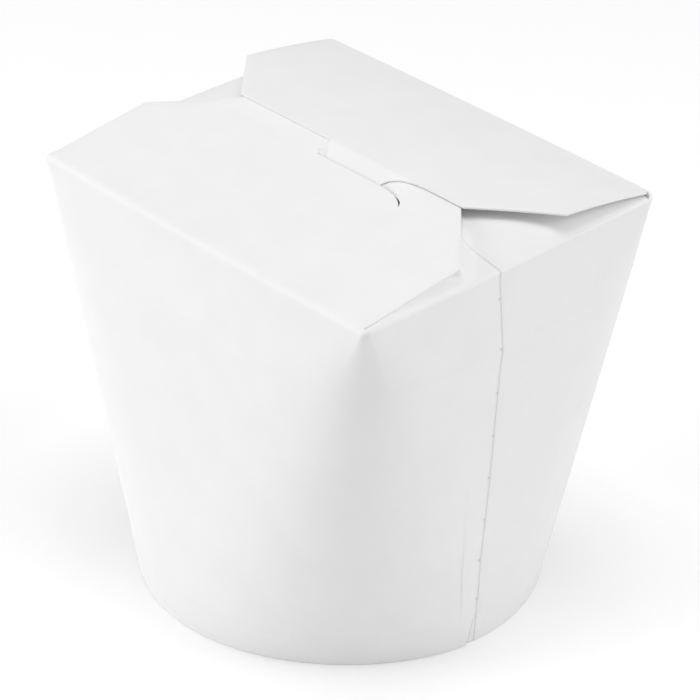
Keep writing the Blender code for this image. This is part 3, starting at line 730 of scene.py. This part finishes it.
def open_slit(piece, row, columns):
    """Take out the faces between the slit's two lips."""
    bpy.ops.mesh.select_all(action="DESELECT")
    bpy.ops.mesh.select_mode(type="FACE")
    board = edit_board(piece)
    column, rows = board.verts.layers.int["column"], board.verts.layers.int["row"]
    for face in board.faces:
        between = {vertex[rows] for vertex in face.verts} == {row, row + 1}
        crossings = [columns.get(vertex[column]) for vertex in face.verts]
        cut = between and None not in crossings
        face.select = cut and all(SLIT_LEFT_X <= value <= SLIT_RIGHT_X for value in crossings)
    bmesh.update_edit_mesh(piece.data)
    bpy.ops.mesh.delete(type="FACE")
    bpy.ops.mesh.select_mode(type="VERT")


def draw_far_flap(piece, stations, fold_row, row):
    columns = {index: value for index, (part, value) in enumerate(stations) if part == "far"}
    select_row(piece, fold_row, columns)
    start = MAIN_FOLD_RADIUS
    distances = list(np.linspace(start, FAR_SIDE_LENGTH, 13))[1:]
    distances = [start + 0.6 * MM] + distances
    distances += list(np.linspace(FAR_SIDE_LENGTH, FAR_LENGTH, 9))[1:-1]
    distances += [FAR_LENGTH - 0.4 * MM, FAR_LENGTH]
    for distance in distances:
        row += 1
        places = {index: (far_x(place, distance), TOP_HALF_Y - distance, FOLD_HEIGHT + far_surface(distance))
                  for index, place in columns.items()}
        draw_row(piece, row, places)
    tongue = {index: place for index, place in columns.items()
              if TONGUE_LEFT_X - WELD <= place <= TONGUE_SHOULDER_X + WELD}
    select_row(piece, row, tongue)
    for share in (0.012, 0.03, 0.055, 0.09, 0.13, 0.18, 0.24, 0.31, 0.38, 0.46, 0.53, 0.65, 0.77, 0.89, 1.0):
        row += 1
        past = TONGUE_LENGTH * share
        places = {}
        for index, place in tongue.items():
            along = (place - TONGUE_LEFT_X) / (TONGUE_SHOULDER_X - TONGUE_LEFT_X)
            x = tongue_left_edge(past) + (tongue_right_edge(past) - tongue_left_edge(past)) * along
            distance = FAR_LENGTH + past
            places[index] = (x, TOP_HALF_Y - distance, FOLD_HEIGHT + far_surface(distance))
        draw_row(piece, row, places)
    return row


def draw_gusset(piece, stations, parts, fold_row, row):
    """A side gusset, folded in over the top from the corner to the corner."""
    ends_at_top = ring_places(stations, 1.0, FOLD_HEIGHT)
    columns = [index for index, (part, _) in enumerate(stations) if part in parts]
    side = 1.0 if "right" in parts else -1.0
    select_row(piece, fold_row, columns)
    for inward in GUSSET_STEPS:
        row += 1
        places = {}
        for index in columns:
            place, _, _, stand_out = ends_at_top[index]
            y = place[1]
            turn = gusset_fold_turn(side, y)
            fold_end = TOP_HALF_X - SIDE_FOLD_RADIUS * (1.0 - math.cos(turn))
            height = gusset_height(side, inward * MM, y) + stand_out
            places[index] = (side * (fold_end - inward * MM), y, FOLD_HEIGHT + height)
        draw_row(piece, row, places)
    return row


def close_corner(piece, stations, part, row, fold_row):
    """Gather a corner's board to a small pit, where its folds meet."""
    columns = [index for index, (name, _) in enumerate(stations) if name == part]
    columns = [(columns[0] - 1) % len(stations)] + columns + [(columns[-1] + 1) % len(stations)]
    select_row(piece, fold_row, columns)
    sign = {"a": (-1.0, -1.0), "b": (1.0, -1.0), "c": (1.0, 1.0), "d": (-1.0, 1.0)}[part[-1]]
    centre = (sign[0] * (TOP_HALF_X - TOP_CORNER_RADIUS - PIT_INSET),
              sign[1] * (TOP_HALF_Y - TOP_CORNER_RADIUS - PIT_INSET),
              FOLD_HEIGHT - PIT_DEPTH)
    draw_row(piece, row + 1, {index: centre for index in columns})
    return row + 1


def make_carton(materials):
    stations = ring_stations()
    rings = foot_rings(stations) + [wall_ring(stations, height) for height in wall_heights()]
    rings += fold_rings(stations)
    piece = start_ring("carton_board", rings[0])
    row = 0
    for ring in rings[1:]:
        row += 1
        draw_row(piece, row, ring)
    fold_row = row
    row = draw_near_flap(piece, stations, row)
    row = draw_far_flap(piece, stations, fold_row, row)
    row = draw_gusset(piece, stations, ("right", "lap"), fold_row, row)
    row = draw_gusset(piece, stations, ("left",), fold_row, row)
    for part in ("corner_a", "corner_b", "corner_c", "corner_d"):
        row = close_corner(piece, stations, part, row, fold_row)
    finish_sheet(piece, materials)
    return piece


# Base board

def make_base(materials):
    """Round board set up inside the foot: a skirt between wall and turned-in board, and a flat plate."""
    angles = [2.0 * math.pi * index / 144 for index in range(144)]
    profile = [(0.0, 1.2), (0.0, 3.5), (0.0, 6.0), (0.1, 6.6), (0.35, 6.9), (0.8, 7.0), (2.5, 7.0),
               (3.2, 6.95), (3.9, 6.8), (4.8, 6.75)]
    profile += [(inset, 6.75) for inset in (10.0, 20.0, 32.0)]

    def ring(inset, height):
        points = []
        for angle in angles:
            place = foot_point(angle)
            normal = np.array([math.cos(angle), math.sin(angle)])
            if inset < 6.0:
                flat = place - normal * (BASE_SKIRT_INSET + inset * MM)
            else:
                flat = place * (1.0 - inset * MM / FOOT_RADIUS)
            points.append((*flat, height * MM))
        return points

    piece = start_ring("base_board", ring(*profile[0]))
    for row, step in enumerate(profile[1:], start=1):
        draw_row(piece, row, ring(*step))
    bpy.ops.mesh.edge_face_add()
    finish_sheet(piece, materials)
    return piece


# Finishes

def node(tree, kind, **values):
    made = tree.nodes.new(kind)
    for name, value in values.items():
        setattr(made, name, value)
    return made


def noise(tree, coordinates, scale, detail=3.0, roughness=0.55):
    made = node(tree, "ShaderNodeTexNoise")
    made.inputs["Scale"].default_value = scale
    made.inputs["Detail"].default_value = detail
    made.inputs["Roughness"].default_value = roughness
    tree.links.new(coordinates, made.inputs["Vector"])
    return made.outputs["Fac"]


def ranged(tree, value, low, high, start=0.3, end=0.7):
    made = node(tree, "ShaderNodeMapRange")
    for name, number in (("From Min", start), ("From Max", end), ("To Min", low), ("To Max", high)):
        made.inputs[name].default_value = number
    tree.links.new(value, made.inputs["Value"])
    return made.outputs["Result"]


def blended(tree, share, first, second):
    made = node(tree, "ShaderNodeMix", data_type="RGBA")
    tree.links.new(share, made.inputs["Factor"])
    for socket, colour in (("A", first), ("B", second)):
        target = [item for item in made.inputs if item.name == socket and item.type == "RGBA"][0]
        if isinstance(colour, tuple):
            target.default_value = (*colour, 1.0)
        else:
            tree.links.new(colour, target)
    return [item for item in made.outputs if item.type == "RGBA"][0]


def board_finish(name, pale, shaded, roughness, grain):
    """White coated board: cloudy whiteness, fine fibre tooth and a soft satin."""
    material = bpy.data.materials.new(name)
    material.use_nodes = True
    tree = material.node_tree
    surface = tree.nodes["Principled BSDF"]
    place = node(tree, "ShaderNodeTexCoord").outputs["Object"]
    clouds = noise(tree, place, 90.0, 3.0)
    fibres = noise(tree, place, 1400.0, 4.0, 0.6)
    tooth = noise(tree, place, 5200.0, 2.0, 0.5)
    cloudy = blended(tree, ranged(tree, clouds, 0.0, 1.0), pale, shaded)
    fibrous = blended(tree, ranged(tree, fibres, 0.0, 0.35), cloudy, shaded)
    tree.links.new(fibrous, surface.inputs["Base Color"])
    tree.links.new(ranged(tree, fibres, roughness - 0.05, roughness + 0.06), surface.inputs["Roughness"])
    surface.inputs["Specular IOR Level"].default_value = SHEEN
    fine = node(tree, "ShaderNodeBump")
    fine.inputs["Strength"].default_value = grain
    fine.inputs["Distance"].default_value = TOOTH_RELIEF
    tree.links.new(tooth, fine.inputs["Height"])
    broad = node(tree, "ShaderNodeBump")
    broad.inputs["Strength"].default_value = grain
    broad.inputs["Distance"].default_value = FIBRE_RELIEF
    tree.links.new(fibres, broad.inputs["Height"])
    tree.links.new(fine.outputs["Normal"], broad.inputs["Normal"])
    tree.links.new(broad.outputs["Normal"], surface.inputs["Normal"])
    return material


def floor_finish():
    material = bpy.data.materials.new("pale_floor")
    material.use_nodes = True
    surface = material.node_tree.nodes["Principled BSDF"]
    surface.inputs["Base Color"].default_value = (0.93, 0.93, 0.93, 1.0)
    surface.inputs["Roughness"].default_value = 0.9
    surface.inputs["Emission Color"].default_value = (1.0, 1.0, 1.0, 1.0)
    surface.inputs["Emission Strength"].default_value = FLOOR_GLOW
    return material


# Stage, light and camera

def make_stage():
    deselect_everything()
    bpy.ops.mesh.primitive_plane_add(size=6.0, location=(0.0, 0.0, 0.0))
    floor = bpy.context.object
    floor.name = "floor"
    floor.data.materials.append(floor_finish())


def make_light():
    world = bpy.data.worlds.new("soft_room")
    bpy.context.scene.world = world
    world.use_nodes = True
    room = world.node_tree.nodes["Background"]
    room.inputs["Color"].default_value = (1.0, 1.0, 1.0, 1.0)
    room.inputs["Strength"].default_value = WORLD_LIGHT
    for name, place, size, power in LAMPS:
        lamp = bpy.data.lights.new(name, "AREA")
        lamp.size = size
        lamp.energy = power
        stand = bpy.data.objects.new(name, lamp)
        stand.location = place
        aim = Vector((0.0, 0.0, 0.05)) - Vector(place)
        stand.rotation_euler = aim.to_track_quat("-Z", "Y").to_euler()
        bpy.context.scene.collection.objects.link(stand)
    bpy.context.scene.view_settings.view_transform = "Standard"


def make_camera():
    back = Vector((math.sin(CAMERA_TURN) * math.cos(CAMERA_TILT),
                   -math.cos(CAMERA_TURN) * math.cos(CAMERA_TILT), math.sin(CAMERA_TILT)))
    level = Vector((math.cos(CAMERA_TURN), math.sin(CAMERA_TURN), 0.0))
    upright = back.cross(level)
    right = math.cos(CAMERA_ROLL) * level + math.sin(CAMERA_ROLL) * upright
    up = math.cos(CAMERA_ROLL) * upright - math.sin(CAMERA_ROLL) * level
    lens = bpy.data.cameras.new("camera")
    lens.lens = LENS
    lens.sensor_width = SENSOR
    lens.clip_start = 0.01
    camera = bpy.data.objects.new("camera", lens)
    turn = Matrix((right, up, back)).transposed().to_4x4()
    stand = back * CAMERA_DISTANCE + right * CAMERA_ASIDE + up * CAMERA_UP
    camera.matrix_world = Matrix.Translation(stand) @ turn
    bpy.context.scene.collection.objects.link(camera)
    bpy.context.scene.camera = camera


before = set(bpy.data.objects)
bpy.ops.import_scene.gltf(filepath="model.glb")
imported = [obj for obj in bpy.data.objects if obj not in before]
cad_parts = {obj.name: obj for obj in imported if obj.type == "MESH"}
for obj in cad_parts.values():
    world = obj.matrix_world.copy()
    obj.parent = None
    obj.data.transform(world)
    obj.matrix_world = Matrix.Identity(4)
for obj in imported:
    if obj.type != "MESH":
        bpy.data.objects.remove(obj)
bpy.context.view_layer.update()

white = board_finish("white_coated_board", (0.90, 0.90, 0.90), (0.875, 0.875, 0.878), 0.48, 0.5)
# Cut edges: the board's own edge colour, set paler than the coated face, which also paints a highlight along
# every cut edge
cut = board_finish("cut_board_edge_painted_highlight", (0.93, 0.93, 0.925), (0.87, 0.868, 0.86), 0.8, 1.0)
base = board_finish("matt_base_board", (0.86, 0.86, 0.855), (0.83, 0.83, 0.82), 0.6, 0.6)

carton = make_carton([white, cut])
base_board = make_base([base, cut])
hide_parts("carton")
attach(carton, "root")
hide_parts("base_disc")
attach(base_board, "root")

make_stage()
make_light()
make_camera()
